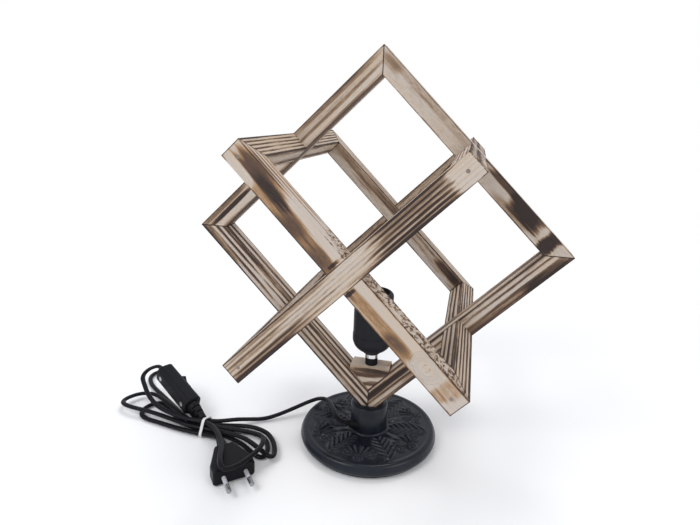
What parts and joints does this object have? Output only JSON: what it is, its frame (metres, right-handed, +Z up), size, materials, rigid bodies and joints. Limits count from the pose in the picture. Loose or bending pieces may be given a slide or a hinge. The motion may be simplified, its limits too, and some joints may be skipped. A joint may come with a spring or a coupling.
{
  "type": "table lamp",
  "caption": "Table lamp of interlocked square frames of scorched wood balanced on one corner over a round dished base, with a screw lampholder and a switched flex.",
  "frame": {"origin": "centre of the base's underside, on the axis of the stem", "axes": "+Z up along the stem; +X to the right and +Y away from the viewer, with the upright square in the XZ plane"},
  "size_m": [0.4333, 0.24, 0.3672],
  "materials": {
    "scorched_wood": "scorched and brushed pine",
    "black_casting": "satin black lacquer",
    "felt": "felt pad",
    "bright_steel": "zinc plated",
    "black_plastic": "matte black",
    "chrome": "bright",
    "ceramic": "off-white insulation",
    "brass": "bright",
    "wire": "insulated cores",
    "flex": "satin black sheath",
    "black_rubber": "matte black",
    "tie": "pale grey tie",
    "sleeve": "pale insulating sleeves"
  },
  "bodies": {
    "lamp": {"upright_bottom_right": "scorched_wood", "upright_bottom_left": "scorched_wood", "upright_top_left": "scorched_wood", "upright_top_right": "scorched_wood", "falling_left_end": "scorched_wood", "falling_front": "scorched_wood", "falling_right_end": "scorched_wood", "falling_back": "scorched_wood", "rising_right_end": "scorched_wood", "rising_front": "scorched_wood", "rising_left_end": "scorched_wood", "rising_back": "scorched_wood", "corner_block": "scorched_wood", "frame_nails": "bright_steel", "base_casting": "black_casting", "base_pad": "felt", "stem_tube": "bright_steel", "base_washer": "bright_steel", "base_nut": "bright_steel", "spacer_sleeve": "black_plastic", "lock_ring": "chrome", "holder_cap": "black_plastic", "holder_skirt": "black_plastic", "holder_grub_screw": "bright_steel", "holder_insert": "ceramic", "screw_shell": "brass", "centre_contact": "brass", "terminal_screws": "brass", "lamp_wires": "wire", "inner_flex": "flex", "cord_bush": "black_rubber", "cord_to_switch": "flex", "cord_hank": "flex", "cord_tie": "tie", "switch_upper_shell": "black_plastic", "switch_lower_shell": "black_plastic", "switch_relief": "black_rubber", "common_terminal": "brass", "load_terminal": "brass", "switch_screws": "bright_steel", "plug_body": "black_plastic", "plug_relief": "black_rubber", "plug_pins": "chrome", "pin_sleeves": "sleeve"},
    "rocker": {"switch_rocker": "black_plastic", "rocker_plunger": "ceramic"},
    "contact_bridge": {"contact_bridge": "brass"}
  },
  "joints": [
    {"name": "rocker_tilt", "type": "hinge", "parent": "lamp", "child": "rocker", "pos_m": [-0.19578, -0.0046, 0.0231], "axis": [0.2333, -0.1304, 0.9636], "range_deg": [0, 22]},
    {"name": "bridge_tilt", "type": "hinge", "parent": "lamp", "child": "contact_bridge", "pos_m": [-0.19934, -0.01097, 0.0231], "axis": [0.2333, -0.1304, 0.9636], "range_deg": [-22, 0]}
  ],
  "couplings": [
    {"joint": "bridge_tilt", "follows": "rocker_tilt", "ratio": -1}
  ]
}
